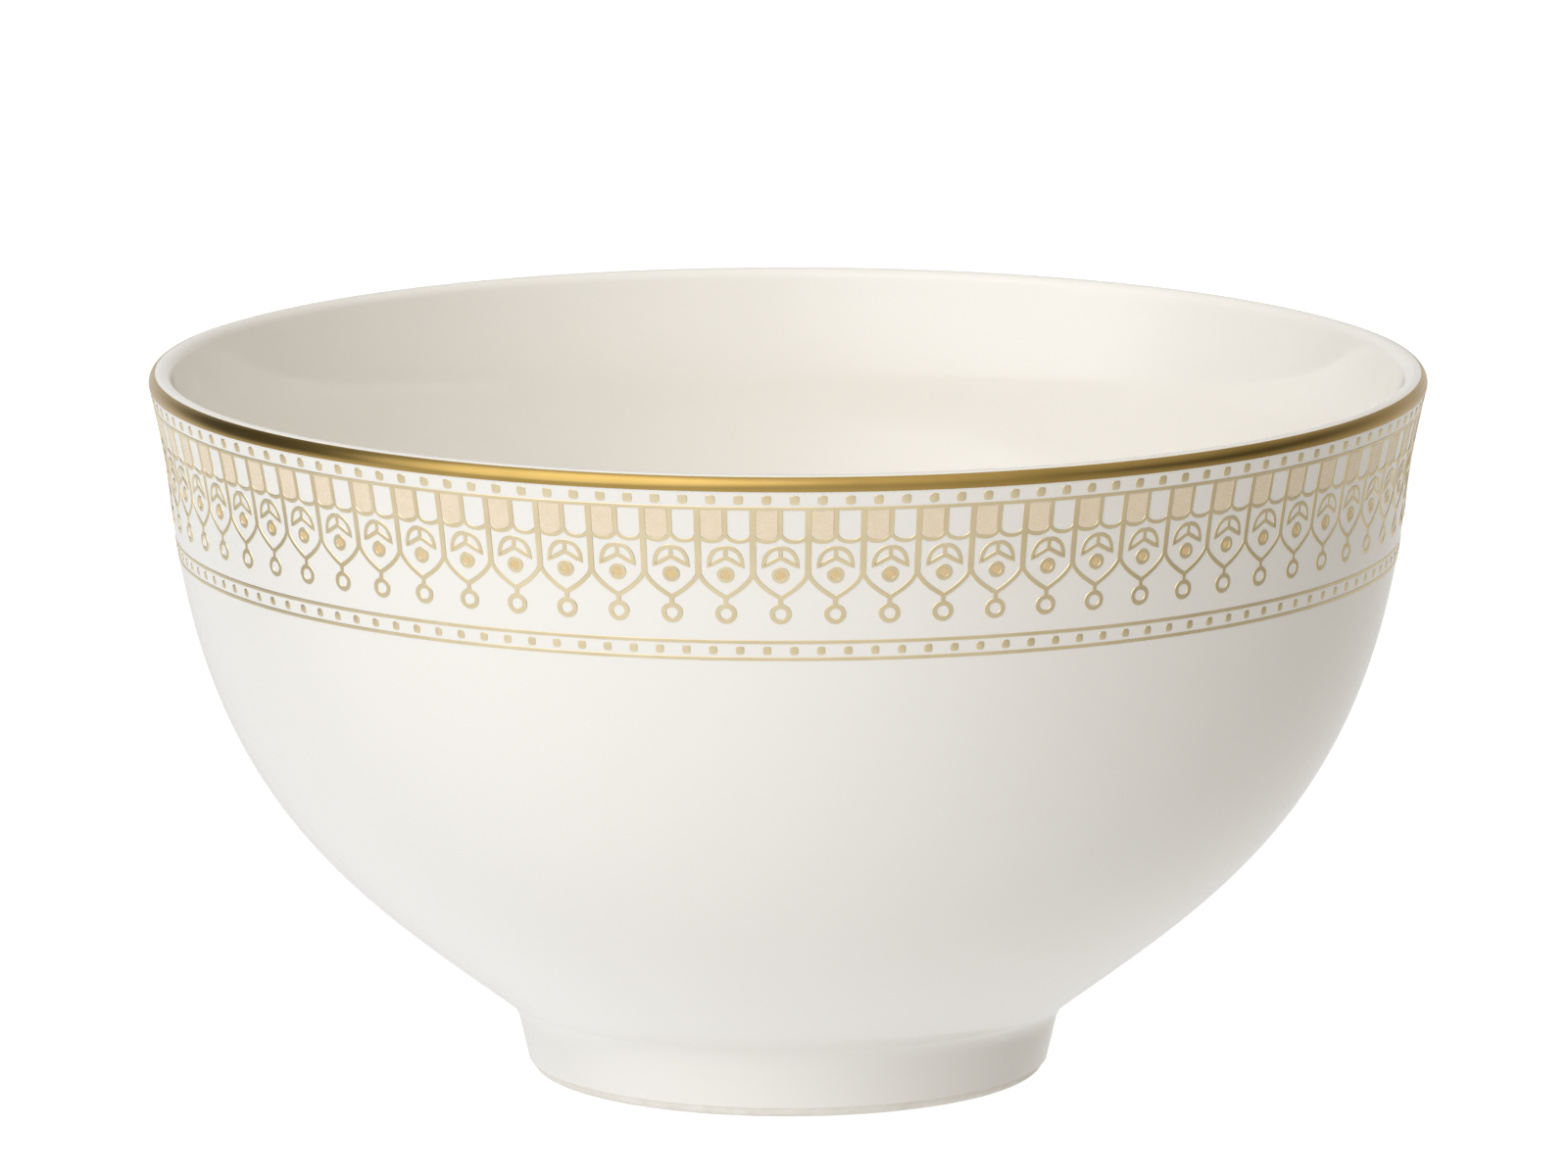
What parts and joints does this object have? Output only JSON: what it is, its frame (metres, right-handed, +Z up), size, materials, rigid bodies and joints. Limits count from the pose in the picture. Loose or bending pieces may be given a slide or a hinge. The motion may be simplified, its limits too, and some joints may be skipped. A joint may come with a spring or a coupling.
{
  "type": "footed porcelain serving bowl",
  "caption": "Footed round porcelain bowl with a deep curved wall, gilded lip and a wide printed gold and peach border outside, glazed inside, with a bare foot rim.",
  "frame": {"origin": "on the table, under the middle of the bowl", "axes": "+Z up along the bowl's axis; the front faces -Y, with the middle of the front transfer strip there, and +X is to the right"},
  "size_m": [0.15, 0.15, 0.0835],
  "materials": {
    "bare_porcelain": "fired, unglazed, fine matt grain",
    "clear_glaze": "glossy clear glaze over warm white porcelain",
    "burnished_gold": "burnished liquid gold with fine rubbing marks",
    "printed_gold": "printed bright gold lines, slightly satin",
    "peach_enamel": "pale peach overglaze enamel, satin gloss"
  },
  "bodies": {
    "root": {"bowl_body": "bare_porcelain", "foot_ring": "bare_porcelain", "glaze_outside": "clear_glaze", "glaze_inside": "clear_glaze", "glaze_underside": "clear_glaze", "rim_gilding": "burnished_gold", "transfer_strip_front": "printed_gold", "transfer_strip_back": "printed_gold"}
  },
  "joints": []
}
